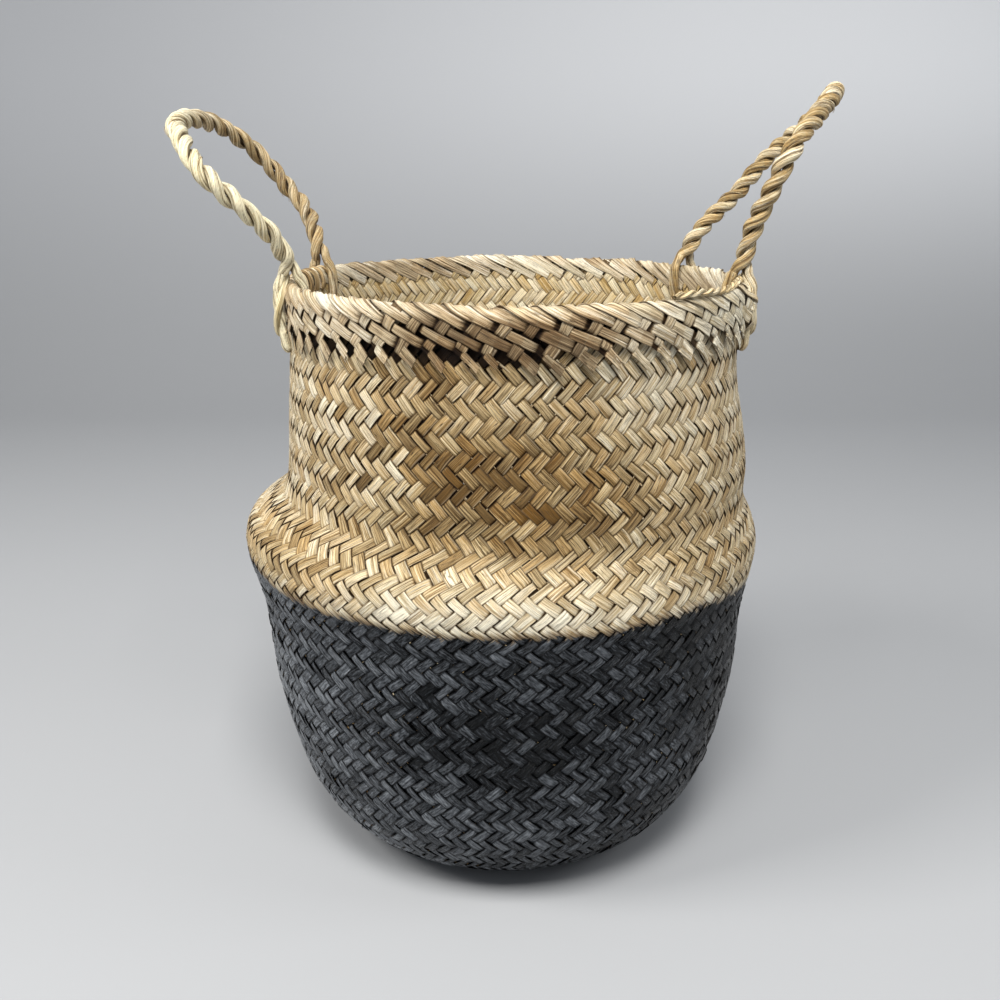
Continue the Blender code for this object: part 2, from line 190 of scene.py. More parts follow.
def band_foot(phi):
    """Height above which the wall's floats get painted shade behind the band, lower at the left front."""
    degrees = signed_degrees(phi)
    right = bell(degrees, 62.0, 54.0, 4)
    return 270.6 - 2.0 * bell(degrees, -30.0, 22.0) + 5.2 * right


def float_wave(k):
    """Lift of a strip that goes over two and under two, by crossing number: one over, minus one under."""
    t = (k + 0.5) % 4.0
    side = np.where(t < 2.0, 1.0, -1.0)
    t = t % 2.0
    edge = np.minimum(t, 2.0 - t)
    rise = np.clip(edge / 0.42, 0, 1)
    return side * np.sin(rise * math.pi / 2)


def new_mesh(name, points, faces, uv, values, material, is_strip=False):
    """A mesh piece from arrays, with a UV map and point values. Strips get sharp edges and a marked inner side."""
    mesh = bpy.data.meshes.new(name)
    mesh.vertices.add(len(points))
    mesh.vertices.foreach_set("co", points.astype(np.float32).ravel())
    mesh.loops.add(faces.size)
    mesh.loops.foreach_set("vertex_index", faces.astype(np.int32).ravel())
    mesh.polygons.add(len(faces))
    mesh.polygons.foreach_set("loop_start", np.arange(0, faces.size, 4, dtype=np.int32))
    mesh.polygons.foreach_set("use_smooth", np.full(len(faces), True))
    layer = mesh.uv_layers.new(name="UVMap")
    layer.data.foreach_set("uv", uv[faces.ravel()].astype(np.float32).ravel())
    inside = np.zeros(len(faces))
    if is_strip:
        inside[SECTION_INNER::SECTION] = 1.0
    for key, numbers in (*values.items(), ("inside", inside)):
        attribute = mesh.attributes.new(key, "FLOAT", "FACE" if key == "inside" else "POINT")
        attribute.data.foreach_set("value", numbers.astype(np.float32))
    mesh.update(calc_edges=True)
    if is_strip:
        ends = np.empty(len(mesh.edges) * 2, dtype=np.int32)
        mesh.edges.foreach_get("vertices", ends)
        ends = ends.reshape(-1, 2)
        along_strip = np.abs(ends[:, 0] - ends[:, 1]) == SECTION
        crease = mesh.attributes.new("sharp_edge", "BOOLEAN", "EDGE")
        crease.data.foreach_set("value", along_strip & np.isin(ends[:, 0] % SECTION, SECTION_CORNERS))
    made = bpy.data.objects.new(name, mesh)
    bpy.context.scene.collection.objects.link(made)
    mesh.materials.append(material)
    return made


def ring_faces(strips, steps, around):
    """Quads of many closed ribbons: strips x steps rings x around points."""
    base = np.arange(strips)[:, None, None] * steps * around
    step = np.arange(steps - 1)[None, :, None] * around
    side = np.arange(around)[None, None, :]
    following = (side + 1) % around
    a = base + step + side
    b = base + step + following
    c = b + around
    d = a + around
    return np.stack((a, b, c, d), axis=-1).reshape(-1, 4)


def point_values(shape, strip, cell, tan, paint=UNPAINTED, lift=1.0, shade=1.0):
    """What the materials read at each point: random tones of the strip and of its float, brownness, which in places
    is painted light and shade, height above the paint's edge, how far out the point lies, which also sets painted
    shade where a strip dives under another, and a factor of painted shade."""
    values = {"strip": strip, "cell": cell, "tan": tan, "paint": paint, "lift": lift, "shade": shade}
    return {key: np.broadcast_to(value, shape).ravel() for key, value in values.items()}


def strip_uv(across, along, shape):
    """UV rows from the place across a strip and the distance along it."""
    return np.stack((np.broadcast_to(across, shape), np.broadcast_to(along, shape)), axis=-1).reshape(-1, 2)


# Section of a strip: place across it, face (one out, minus one in) and rise of its arch, then the number of points,
# the sharp corners and the inner side
ACROSS = np.array((-1.0, -0.42, 0.42, 1.0, 1.0, -1.0))
FACE = np.array((1.0, 1.0, 1.0, 1.0, -1.0, -1.0))
ARCH = 1 - ACROSS * ACROSS
SECTION = len(ACROSS)
SECTION_CORNERS = (0, 3, 4, 5)
SECTION_INNER = 4

# Crossing numbers within each float where a strip has a ring of points
FLOAT_RINGS = np.array((-0.5, -0.34, -0.1, 0.5, 1.1, 1.34))


def ring_crossings(limit):
    """Crossing numbers of a strip's rings of points, up to a limit."""
    ks = (np.arange(0.0, limit + 2.0, 2.0)[:, None] + FLOAT_RINGS).ravel()
    return ks[(ks >= 0.0) & (ks <= limit)]


def wall_strips(name, sign, chosen):
    """Strips of the wall that climb to one side, as closed ribbons over two and under two."""
    ks = ring_crossings(2 * WALL.w[-1] - 0.4)
    w = (ks / 2.0)[None, :]
    index = chosen[:, None]
    rng = np.random.default_rng(100 + sign)
    strip_random = rng.random(STRIPS)[chosen, None, None]
    strip_width = np.clip(rng.normal(0.985, 0.10, STRIPS)[chosen, None], 0.78, 1.12)
    phase = rng.uniform(0, TURN, (4, STRIPS))[:, chosen, None]
    spacing = WALL.at(w, WALL.spacing)
    rise = WALL.at(w, WALL.rise)
    perpendicular = spacing * rise / STRIP_CELL
    wander = (np.sin(w * 1.3 + phase[0]) + np.sin(w * 2.9 + phase[1])) * 0.16
    width_noise = 1 + 0.045 * np.sin(w * 1.9 + phase[2]) + 0.035 * np.sin(w * 4.3 + phase[3])
    cell = np.floor((ks + 0.5) / 2.0).astype(int) + 3
    cell_random = rng.random((STRIPS, cell.max() + 1))[chosen][:, cell]
    cell_tilt = rng.normal(0, 1, (STRIPS, cell.max() + 1))[chosen][:, cell]
    phi = STRIP_ANGLE * (index + sign * w)
    wave = float_wave(ks)[:, None] * sign
    z = WALL.at(w, WALL.z)
    painted = np.clip(-paint_distance(phi, z) / 6.0, 0, 1)
    gappy = bell(signed_degrees(phi), -30.0, 26.0) * soft_step(z, 200.0, 216.0)
    half = 0.5 * perpendicular * (0.95 + 0.045 * painted - 0.05 * gappy) * strip_width * width_noise
    amplitude = 0.52 * (1 + 0.12 * np.sin(w * 3.1 + phase[1]))
    crown = 0.10 - 0.03 * painted
    thickness = 0.20
    across = half[:, :, None] * ACROSS + wander[:, :, None]
    # the strip's own direction on the surface is (sign * spacing, rise); across is a quarter turn from it
    d_arc = across * (rise / STRIP_CELL)[:, :, None]
    d_v = -across * sign * (spacing / STRIP_CELL)[:, :, None]
    phi_all = phi[:, :, None] + d_arc / WALL.at(w, WALL.r)[:, :, None]
    w_all = w[:, :, None] + d_v / rise[:, :, None]
    tilt = ((0.11 + 0.15 * painted) * np.clip(cell_tilt, -2, 2))[:, :, None] * np.abs(wave) * ACROSS
    lift = wave * (amplitude[:, :, None] + crown[:, :, None] * ARCH) + thickness * FACE + tilt
    phi_all, w_all, lift = np.broadcast_arrays(phi_all, w_all, lift)
    points = WALL.place(phi_all, w_all, lift).reshape(-1, 3)
    z_all = WALL.at(w_all, WALL.z)
    paint = paint_distance(phi_all, z_all)
    uv = strip_uv(ACROSS * 0.5 + 0.5, (ks * STRIP_CELL * 0.5 * MM)[:, None] + strip_random * 3.0, lift.shape)
    # floats whose middle lies behind the band get painted shade on their outer side, less of it near the top
    middle_w = np.floor((ks + 0.5) / 2.0) + 0.25
    middle_phi = STRIP_ANGLE * (index + sign * middle_w[None, :])
    middle_z = WALL.at(middle_w, WALL.z)[None, :]
    level = middle_z + (cell_random - 0.5) * 4.0 - band_foot(middle_phi)
    hidden = (np.clip(level / 0.3, 0, 1) * (1.0 - 0.72 * (middle_z > 282.0)))[:, :, None] * (FACE > 0)
    degrees = signed_degrees(phi_all)
    # brown on the front of the neck, partly the straw's own tone and partly painted shade; browner on both shoulders
    # as painted shade, pale on the fold over the paint as a painted highlight, uneven at the left front, partly
    # painted highlights on single floats
    low = soft_step(z_all, 176.0, 206.0)
    tan = 2.9 * bell(degrees, -3.0, 28.0, 3) * low * (1.0 - 0.7 * soft_step(z_all, 224.0, 254.0))
    tan = tan + 0.95 * bell(degrees, 45.0, 30.0) * bell(z_all, 187.0, 34.0)
    tan = tan + 0.95 * bell(degrees, -52.0, 30.0) * bell(z_all, 174.0, 15.0)
    tan = tan - 2.2 * bell(degrees, -5.0, 38.0) * bell(z_all, 163.0, 9.5)
    uneven = bell(degrees, -30.0, 24.0) * soft_step(z_all, 198.0, 214.0)
    tan = tan + 2.4 * uneven * (0.5 - cell_random[:, :, None])
    tan = tan + 0.40 * waves(phi_all, z_all * 0.012, 77, 5, 1, 4)
    # on the paint the same value carries painted sheen and shade: a painted reflection on the left and lower left,
    # painted shade at the right edge, and a slow random unevenness
    light = read_table(PAINT_SHEEN_AND_SHADE, degrees)
    light = light + 0.85 * (1.0 - soft_step(z_all, 40.0, 110.0)) * bell(degrees, -28.0, 36.0)
    tan = np.where(paint < 3.0, light + 0.35 * waves(phi_all, z_all * 0.02, 78, 6, 1, 6), tan)
    shade = 1.0 - 0.97 * hidden
    values = point_values(lift.shape, strip_random, cell_random[:, :, None], tan, paint, wave * FACE, shade)
    made = new_mesh(name, points, ring_faces(len(chosen), len(ks), SECTION), uv, values, WALL_STRAW, True)
    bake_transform(made)
    return made


# Rim band: number of strips each way, their spacing round the rim, how far the band's inner layer lies from the wall,
# and how far a long and a short strip run round the rim for each millimetre of height
BAND_COUNT = 58
BAND_D = 12.2
BAND_OUT = 3.0
BAND_COT_LONG = 2.097
BAND_COT_SHORT = 0.6745
BAND_ROW = BAND_D / (BAND_COT_LONG + BAND_COT_SHORT)
BAND_RADIUS = BAND_COUNT * BAND_D / (2 * math.pi)
BAND_INNER = RIM_WALL - WALL_HALF - BAND_OUT

# Middle line of the fold by the distance q from the top edge, negative inside: direction, offset and drop
BAND_TOP = 292.3
BAND_Q = np.linspace(-45.0, 45.0, 901)
BAND_TURN = math.pi / 2 * (0.60 * np.tanh(BAND_Q / 0.9) + 0.40 * np.tanh(BAND_Q / 6.0))
BAND_OFFSET, BAND_DROP = [
    np.concatenate(((0.0,), np.cumsum(part(BAND_TURN[1:]) * np.diff(BAND_Q)))) for part in (np.cos, np.sin)]
BAND_OFFSET -= np.interp(0.0, BAND_Q, BAND_OFFSET)
BAND_DROP -= np.interp(0.0, BAND_Q, BAND_DROP)

# Distances from the top edge past which the long strips turn down, and past which ends differ, outside and inside
BAND_BEND = 16.5
RAGGED_OUT = 16.0
RAGGED_IN = -5.0


def band_line(q):
    """Offset from the wall's middle and height, and outward direction, at a distance from the top edge."""
    turn = np.interp(q, BAND_Q, BAND_TURN)
    return (np.interp(q, BAND_Q, BAND_OFFSET), BAND_TOP - np.interp(q, BAND_Q, BAND_DROP),
            np.sin(turn), np.cos(turn))


def band_place(u, q, lift):
    """World positions of points on the folded band, u in millimetres round the rim."""
    offset, height, out, up = band_line(q)
    phi = u / BAND_RADIUS
    dip = waves(phi, 0.0 * phi, 9, 5, 3, 9) * 0.45
    radius = RIM_WALL - WALL_HALF + offset + lift * out + wall_sway(phi, height)
    x = radius * np.sin(phi) + RIM_SHIFT
    y = -radius * np.cos(phi)
    return np.stack((x, y, height + lift * up + dip), axis=-1) * MM


def band_tan(u, q):
    """How brown the band is: brown on the front below the fold, partly its own tone and partly painted shade; a
    painted highlight makes the crest pale on the left, a little browner below it; paler on the right and uneven at
    random.
    """
    degrees = signed_degrees(u / BAND_RADIUS)
    front = bell(degrees, -5.0, 24.0, 4) * soft_step(q, 2.5, 7.5)
    left = bell(degrees, -52.0, 24.0, 4) * soft_step(q, -3.0, 0.0)
    right = bell(degrees, 52.0, 32.0, 4)
    crest = 1.0 - soft_step(q, 3.0, 7.0)
    uneven = waves(u / BAND_RADIUS, q * 0.05, 31, 5, 2, 6)
    return 2.9 * front + (0.40 - 1.05 * crest) * left - 0.55 * right + 0.5 * uneven


def strap_bulge(u, q):
    """Lift of the band over the right front strap, which runs under it."""
    degrees = signed_degrees(u / BAND_RADIUS)
    return 4.6 * bell(degrees, 75.5, 3.6) * soft_step(q, 2.0, 7.0) * (1 - soft_step(q, 18.0, 24.0))


def right_side(u):
    """One on the right front of the rim, where the band is closed, and nought elsewhere."""
    degrees = signed_degrees(u / BAND_RADIUS)
    return soft_step(degrees, 5.0, 22.0) * (1 - soft_step(degrees, 120.0, 150.0))


def band_strips(name, long_way):
    """One family of the band's strips; the long way lies flat and shows, the short way crosses under it."""
    rng = np.random.default_rng(41 if long_way else 42)
    foot_out, foot_in = (25.4, -10.4) if long_way else (20.4, -6.6)
    slope = BAND_COT_LONG if long_way else -BAND_COT_SHORT
    k = np.arange(foot_in / BAND_ROW, foot_out / BAND_ROW + 0.01, 0.085 if long_way else 0.13)
    q = (k * BAND_ROW)[None, :]
    index = np.arange(BAND_COUNT)[:, None]
    jitter = rng.normal(0, 0.6, BAND_COUNT)[:, None]
    slopes = slope * (1 + rng.normal(0, 0.03, BAND_COUNT)[:, None])
    out_end = foot_out + rng.uniform(-2.6, 1.8, BAND_COUNT)[:, None]
    q = np.where(q > RAGGED_OUT, RAGGED_OUT + (q - RAGGED_OUT) * (out_end - RAGGED_OUT) / (foot_out - RAGGED_OUT), q)
    in_end = foot_in + rng.uniform(-1.6, 1.2, BAND_COUNT)[:, None]
    q = np.where(q < RAGGED_IN, RAGGED_IN + (q - RAGGED_IN) * (in_end - RAGGED_IN) / (foot_in - RAGGED_IN), q)
    bend = np.maximum(q - BAND_BEND, 0.0)
    u = index * BAND_D + jitter + slopes * (q - bend * (0.5 if long_way else 0.0))
    phase = rng.uniform(0, TURN, (3, BAND_COUNT, 1))
    u = u + 0.35 * np.sin(q * 0.35 + phase[0])
    even = np.clip(2.0 * np.round(np.abs(k) / 2.0), 2.0, 4.0)
    gap = np.abs(np.abs(k) - even)
    if long_way:
        wave = np.where(k < 0, 1.0, 2.0 * soft_step(gap, 0.20, 0.48) - 1.0)
    else:
        wave = np.where(k < 0, -1.0, 1.0 - 2.0 * soft_step(gap, 0.34, 0.66))
    wave = wave[None, :]
    crest = bell(q, 0.5, 6.5)
    if long_way:
        half = 2.12 * (1 + 0.10 * np.sin(q * 0.5 + phase[1])) * rng.normal(1, 0.10, BAND_COUNT)[:, None]
        half = half * (1 + 0.34 * crest) * (1 + 0.17 * right_side(index * BAND_D + 0 * q))
        amplitude, crown, thickness, tilt = 0.48, 0.09, 0.20, 0.30 * crest
    else:
        half = 2.35 * (1 + 0.10 * np.sin(q * 0.5 + phase[1])) * rng.normal(1, 0.09, BAND_COUNT)[:, None]
        amplitude, crown, thickness, tilt = 0.44, 0.10, 0.18, 0.0 * crest
    length = math.hypot(1.0, slope)
    across = half[:, :, None] * ACROSS
    u_all = u[:, :, None] + across / length
    q_all = q[:, :, None] - across * slope / length
    rising = rng.normal(0, 1, BAND_COUNT)[:, None, None]
    flare = 0.55 * soft_step(q_all, 19.5, 25.5) * np.clip(0.7 + 0.8 * rising, -0.3, 2.2) * (1.0 if long_way else 0.2)
    lift = wave[:, :, None] * (amplitude + crown * ARCH) + thickness * FACE - 1.6 * tilt[:, :, None] * ACROSS
    lift = lift + flare + (0.10 + 0.32 * rising) * crest[:, :, None]
    lift = lift + strap_bulge(u_all, q_all)
    points = band_place(u_all, q_all, lift).reshape(-1, 3)
    strip_random = rng.random(BAND_COUNT)[:, None, None]
    cell_random = rng.random((BAND_COUNT, 20))[:, np.clip(np.round(k / 2.0).astype(int) + 8, 0, 19)]
    s = arc_lengths(np.stack((k * BAND_ROW * slope, k * BAND_ROW), axis=-1))
    uv = strip_uv(ACROSS * 0.5 + 0.5, s[:, None] * MM + strip_random * 3.0, lift.shape)
    # painted shade where a strip dives under the other family, kept light on the crest
    depth = np.maximum((0.25 + 0.75 * wave)[:, :, None] * FACE, 0.45 * crest[:, :, None] - 0.50)
    values = point_values(lift.shape, strip_random, cell_random[:, :, None], band_tan(u_all, q_all), lift=depth)
    made = new_mesh(name, points, ring_faces(BAND_COUNT, len(k), SECTION), uv, values, BAND_STRAW, True)
    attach(made, "neck")
    return made


def band_frays(name):
    """Loose fibres that stand out past the cut ends of the band's long strips."""
    rng = np.random.default_rng(43)
    per_end = 4
    count = BAND_COUNT * per_end
    steps = 5
    t = np.linspace(0, 1, steps)[None, :]
    index = np.repeat(np.arange(BAND_COUNT), per_end)[:, None]
    start = rng.uniform(20.5, 24.5, count)[:, None]
    long = rng.uniform(1.2, 3.6, count)[:, None]
    spread = rng.normal(1.1, 0.35, count)[:, None] - 1.1
    place = rng.uniform(-2.2, 2.2, count)[:, None]
    q = start + long * t
    u = index * BAND_D + BAND_COT_LONG * (q - np.maximum(q - BAND_BEND, 0) * 0.5) + place + spread * long * t
    half = rng.uniform(0.18, 0.42, count)[:, None] * (1 - 0.75 * t)
    rise = rng.uniform(0.1, 1.2, count)[:, None] * t ** 2
    u_all = u[:, :, None] + half[:, :, None] * ACROSS * 0.7
    q_all = q[:, :, None] - half[:, :, None] * ACROSS * 0.7
    lift = 0.75 + rise[:, :, None] + 0.09 * FACE
    points = band_place(u_all, q_all, lift).reshape(-1, 3)
    uv = strip_uv(ACROSS * 0.2 + 0.5, q[:, :, None] * MM, lift.shape)
    values = point_values(lift.shape, rng.random(count)[:, None, None], 0.6, band_tan(u_all, q_all))
    made = new_mesh(name, points, ring_faces(count, steps, SECTION), uv, values, BAND_STRAW)
    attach(made, "neck")


def lining_strips(name, sign):
    """Inner side of the folded rim: the wall's own weave turned over, woven over two and under two."""
    rng = np.random.default_rng(50 + sign)
    spacing = 2 * math.pi * BAND_INNER / STRIPS
    rise = math.sqrt(STRIP_CELL ** 2 - spacing ** 2)
    ks = ring_crossings(7.1)
    index = np.arange(STRIPS)[:, None]
    phase = rng.uniform(0, TURN, (2, STRIPS, 1))
    strip_random = rng.random(STRIPS)[:, None, None]
    cell_random = rng.random((STRIPS, 8))[:, np.floor((ks + 0.5) / 2.0).astype(int) + 1]
    w = (ks / 2.0)[None, :]
    q = -(6.8 + w * rise)
    phi = STRIP_ANGLE * (index + sign * w)
    wave = float_wave(ks)[:, None] * sign
    half = 0.5 * spacing * rise / STRIP_CELL * 0.97 * rng.normal(1, 0.05, STRIPS)[:, None, None]
    across = half * ACROSS + 0.12 * np.sin(w * 2.0 + phase[0])[:, :, None]
    u_all = (phi[:, :, None] + across * (rise / STRIP_CELL) / BAND_INNER) * BAND_RADIUS
    q_all = q[:, :, None] + across * sign * (spacing / STRIP_CELL)
    lift = wave * (0.40 + 0.10 * ARCH) + 0.18 * FACE - 0.25
    points = band_place(u_all, q_all, lift).reshape(-1, 3)
    uv = strip_uv(ACROSS * 0.5 + 0.5, (ks * STRIP_CELL * 0.5 * MM)[:, None] + strip_random * 3.0, q_all.shape)
    # lift sets painted shade where a strip dives under another
    values = point_values(q_all.shape, strip_random, cell_random[:, :, None], -0.25, lift=(0.1 + 0.9 * wave) * FACE)
    made = new_mesh(name, points, ring_faces(STRIPS, len(ks), SECTION), uv, values, LINING_STRAW, True)
    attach(made, "neck")


def node_tree(name):
    """A material with its Principled shader, ready for nodes."""
    made = bpy.data.materials.new(name)
    made.use_nodes = True
    tree = made.node_tree
    return made, tree, tree.nodes["Principled BSDF"]


class Nodes:
    """Short calls for wiring shader nodes."""

    def __init__(self, tree):
        self.tree = tree

    def new(self, kind, sockets=None, **settings):
        """A node with its settings, and with a link or a number in each socket that is given one."""
        node = self.tree.nodes.new(kind)
        for key, value in settings.items():
            setattr(node, key, value)
        for socket, value in (sockets or {}).items():
            self.put(node.inputs[socket], value)
        return node

    def put(self, target, value):
        if hasattr(value, "is_output"):
            self.tree.links.new(value, target)
        elif value is not None:
            target.default_value = value

    def math(self, operation, a, b=None, c=None, clamp=False):
        return self.new("ShaderNodeMath", {0: a, 1: b, 2: c}, operation=operation, use_clamp=clamp).outputs[0]

    def times(self, a, b, clamp=False):
        return self.math("MULTIPLY", a, b, clamp=clamp)

    def rest(self, value):
        return self.math("SUBTRACT", 1.0, value)

    def swing(self, base, source, amount):
        """A value that goes up and down round its base with a source round a half."""
        return self.math("MULTIPLY_ADD", self.math("SUBTRACT", source, 0.5), amount, base)

    def attribute(self, name):
        return self.new("ShaderNodeAttribute", attribute_name=name).outputs["Fac"]

    def split(self, vector):
        return self.new("ShaderNodeSeparateXYZ", {0: vector}).outputs

    def noise(self, x, y, z, detail, rough):
        place = self.new("ShaderNodeCombineXYZ", {0: x, 1: y, 2: z}).outputs[0]
        sockets = {"Vector": place, "Scale": 1.0, "Detail": detail, "Roughness": rough}
        return self.new("ShaderNodeTexNoise", sockets).outputs["Fac"]

    def ramp(self, factor, stops):
        node = self.new("ShaderNodeValToRGB", {0: factor})
        elements = node.color_ramp.elements
        while len(elements) < len(stops):
            elements.new(0.5)
        for element, (position, color) in zip(elements, stops):
            element.position = position
            element.color = (*color, 1.0)
        return node.outputs[0]

    def step(self, value, low, high):
        """Smooth step from nought at low to one at high."""
        sockets = {"Value": value, "From Min": low, "From Max": high}
        return self.new("ShaderNodeMapRange", sockets, interpolation_type="SMOOTHSTEP").outputs[0]

    def mix(self, factor, a, b, blend="MIX"):
        """The first colour where the factor is nought, the second where it is one."""
        sockets = {0: factor, 6: a, 7: b}
        return self.new("ShaderNodeMix", sockets, data_type="RGBA", blend_type=blend).outputs[2]

    def saturate(self, color, amount, hue):
        return self.new("ShaderNodeHueSaturation", {"Hue": hue, "Saturation": amount, "Color": color}).outputs[0]

    def gray(self, value):
        return self.new("ShaderNodeCombineColor", {0: value, 1: value, 2: value}).outputs[0]

    def warm(self, value):
        """A shadow's colour: brown rather than grey where it is deep."""
        parts = [self.math("POWER", value, power) for power in (1.0, 1.15, 1.35)]
        return self.new("ShaderNodeCombineColor", dict(enumerate(parts))).outputs[0]

    def bump(self, height, strength, distance):
        sockets = {"Strength": strength, "Distance": distance, "Height": height}
        return self.new("ShaderNodeBump", sockets).outputs[0]


# Colours of bare straw and of the paint, dark to light; the paint's pale blue-grey stops are partly its own tone and
# partly painted sheen
STRAW_STOPS = (
    (0.18, (0.150, 0.088, 0.036)),
    (0.32, (0.300, 0.205, 0.102)),
    (0.46, (0.480, 0.350, 0.185)),
    (0.60, (0.660, 0.535, 0.345)),
    (0.80, (0.880, 0.800, 0.625)),
)
PAINT_STOPS = (
    (0.30, (0.0006, 0.0007, 0.0008)),
    (0.45, (0.0130, 0.0148, 0.0172)),
    (0.60, (0.0960, 0.1045, 0.1160)),
    (0.82, (0.3000, 0.3190, 0.3410)),
)
# Splits along the strips: noise, its level and half width
SPLITS = (
    ("band", 0.43, 0.020), ("band", 0.50, 0.011), ("band", 0.57, 0.016), ("fine", 0.39, 0.022), ("fine", 0.60, 0.012),
)


def straw_material(name, warm, painted, across=8.0, along=27.0, shine=0.12, contrast=1.0,
                   saturation=1.0, richer=0.020, yellow=0.0):
    """Split seagrass: streaks along each strip, tones that change from strip to strip, and paint where asked."""
    made, tree, shader = node_tree(name)
    n = Nodes(tree)
    u, v, _ = n.split(n.new("ShaderNodeUVMap", uv_map="UVMap").outputs[0])
    strip, cell, tan, lift = [n.attribute(key) for key in ("strip", "cell", "tan", "lift")]
    shift = n.times(strip, 61.0)

    def streaks(across, along, detail, rough=0.5, seed=shift):
        """Noise drawn out along the strip."""
        return n.noise(n.times(u, across), n.times(v, along), seed, detail, rough)

    fine = streaks(across, along, 3.0, 0.62)
    hair = streaks(across * 2.4, along * 1.4, 1.0)
    tone = streaks(0.9, 34.0, 2.0, 0.55)
    band = streaks(across * 0.55, along * 0.7, 1.0)
    key = 0.556 + warm
    for source, amount in ((tone, 0.50), (fine, contrast), (hair, 0.42), (strip, 0.17), (cell, 0.13)):
        key = n.swing(key, source, amount)
    # brownness darkens the straw; in places it carries painted light and shade
    key = n.math("MULTIPLY_ADD", tan, -0.105, key)
    odd = n.math("FRACT", n.math("MULTIPLY_ADD", cell, 7.3, n.times(strip, 3.1)))
    richness = n.math("MULTIPLY_ADD", tan, richer, saturation + 0.09)
    hue = n.math("MULTIPLY_ADD", n.math("MINIMUM", tan, 0.0), -yellow, 0.495)
    color = n.saturate(n.ramp(key, STRAW_STOPS), n.math("MULTIPLY_ADD", odd, -0.16, richness),
                       n.math("MULTIPLY_ADD", odd, 0.010, hue))

    # splits are thin lines where a noise passes a level
    split = None
    for kind, middle, width in SPLITS:
        away = n.math("ABSOLUTE", n.math("SUBTRACT", fine if kind == "fine" else band, middle))
        line = n.rest(n.step(away, 0.0, width))
        split = line if split is None else n.math("MAXIMUM", split, line)
    harsh = n.math("MULTIPLY_ADD", n.math("MAXIMUM", tan, -1.0), 0.13, 0.66, clamp=True)
    split = n.times(split, harsh)
    color = n.mix(split, color, (0.060, 0.036, 0.018, 1.0))
    edge = n.math("ABSOLUTE", n.math("SUBTRACT", u, 0.5))
    # a painted highlight: a pale line along one edge of most strips
    edge_highlight = n.times(n.step(u, 0.80, 0.90), n.step(strip, 0.35, 0.6))
    color = n.mix(n.times(edge_highlight, 0.16), color, (0.80, 0.70, 0.50, 1.0))
    # painted shade along the strips' edges, where they meet their neighbours
    color = n.mix(n.times(n.step(edge, 0.40, 0.50), harsh), color, (0.080, 0.048, 0.024, 1.0))
    # painted shade where a strip dives under another and behind the band, browner where deeper
    under = n.math("MULTIPLY_ADD", n.step(lift, -0.45, 0.50), 0.93, 0.07)
    depth = n.times(under, n.attribute("shade"))
    color = n.mix(1.0, color, n.warm(depth), "MULTIPLY")
    height = n.math("SUBTRACT", fine, n.times(split, 0.8))
    height = n.math("MULTIPLY_ADD", hair, 0.35, height)
    rough = n.math("ADD", 0.46, n.times(fine, 0.24))

    if painted:
        level = n.attribute("paint")
        for source, amount in ((streaks(2.2, 260.0, 2.0), 5.0), (fine, 9.0), (cell, 2.4)):
            level = n.swing(level, source, amount)
        outer = n.rest(n.times(n.attribute("inside"), n.step(lift, -0.2, 0.2)))
        mask = n.times(n.rest(n.step(level, -0.5, 0.5)), outer)
        soaked = n.times(n.rest(n.step(level, 0.0, 4.2)), 0.68)
        color = n.mix(n.times(soaked, outer), color, (0.10, 0.062, 0.040, 1.0))
        cover = streaks(6.0, 300.0, 3.0, 0.6, n.math("ADD", shift, 7.0))
        # the paint's tone: a streaky noise and random tones of float and strip, plus the painted sheen and shade that
        # tan carries
        tint = 0.505
        for source, amount in ((cover, 0.62), (cell, 0.16), (strip, 0.08)):
            tint = n.swing(tint, source, amount)
        black = n.ramp(n.math("MULTIPLY_ADD", tan, 0.15, tint), PAINT_STOPS)
        # painted shade along the edges and splits of painted strips
        rimmed = n.math("MAXIMUM", n.step(edge, 0.34, 0.43), n.times(split, 1.5, clamp=True))
        black = n.mix(n.times(rimmed, 0.88), black, (0.0008, 0.0008, 0.0009, 1.0))
        # painted glints: pale specks on the paint
        painted_glints = n.times(n.step(cover, 0.70, 0.76), n.step(cell, 0.55, 0.80))
        black = n.mix(n.times(painted_glints, 0.55), black, (0.30, 0.27, 0.22, 1.0))
        # the same painted shade where a painted strip dives under another
        black = n.mix(1.0, black, n.gray(depth), "MULTIPLY")
        color = n.mix(mask, color, black)
        gloss = n.swing(n.math("MULTIPLY_ADD", cover, 0.30, 0.13), strip, 0.14)
        rough = n.math("ADD", rough, n.times(mask, n.math("SUBTRACT", gloss, rough)))
        height = n.math("ADD", height, n.times(mask, n.times(cover, 0.4)))

    shader.inputs["Specular IOR Level"].default_value = shine
    n.put(shader.inputs["Base Color"], color)
    n.put(shader.inputs["Roughness"], rough)
    n.put(shader.inputs["Normal"], n.bump(height, 0.75, 0.0007))
    return made


WALL_STRAW = straw_material("wall_straw", 0.031, True, saturation=1.04)
BAND_STRAW = straw_material("band_straw", 0.0, False, across=9.0, along=25.0, shine=0.15, contrast=1.05,
                            saturation=0.88, yellow=0.012)
LINING_STRAW = straw_material("lining_straw", 0.03, False, contrast=0.75, saturation=1.22)
ROPE_STRAW = straw_material("rope_straw", 0.02, False, across=15.0, along=26.0, shine=0.30, contrast=0.95,
                            saturation=1.15, richer=-0.06, yellow=0.0035)

for half in (0, 1):
    chosen = np.arange(STRIPS // 2) + half * (STRIPS // 2)
    wall = wall_strips("wall_right_%d" % half, 1, chosen)
    if half == 0:
        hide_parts("belly_shell", "shoulder_fold", "neck_wall")
    wall_strips("wall_left_%d" % half, -1, chosen)

band_long = band_strips("band_long", True)
band_strips("band_short", False)
band_frays("band_frays")
lining_strips("lining_right", 1)
lining_strips("lining_left", -1)
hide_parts("rim_band")

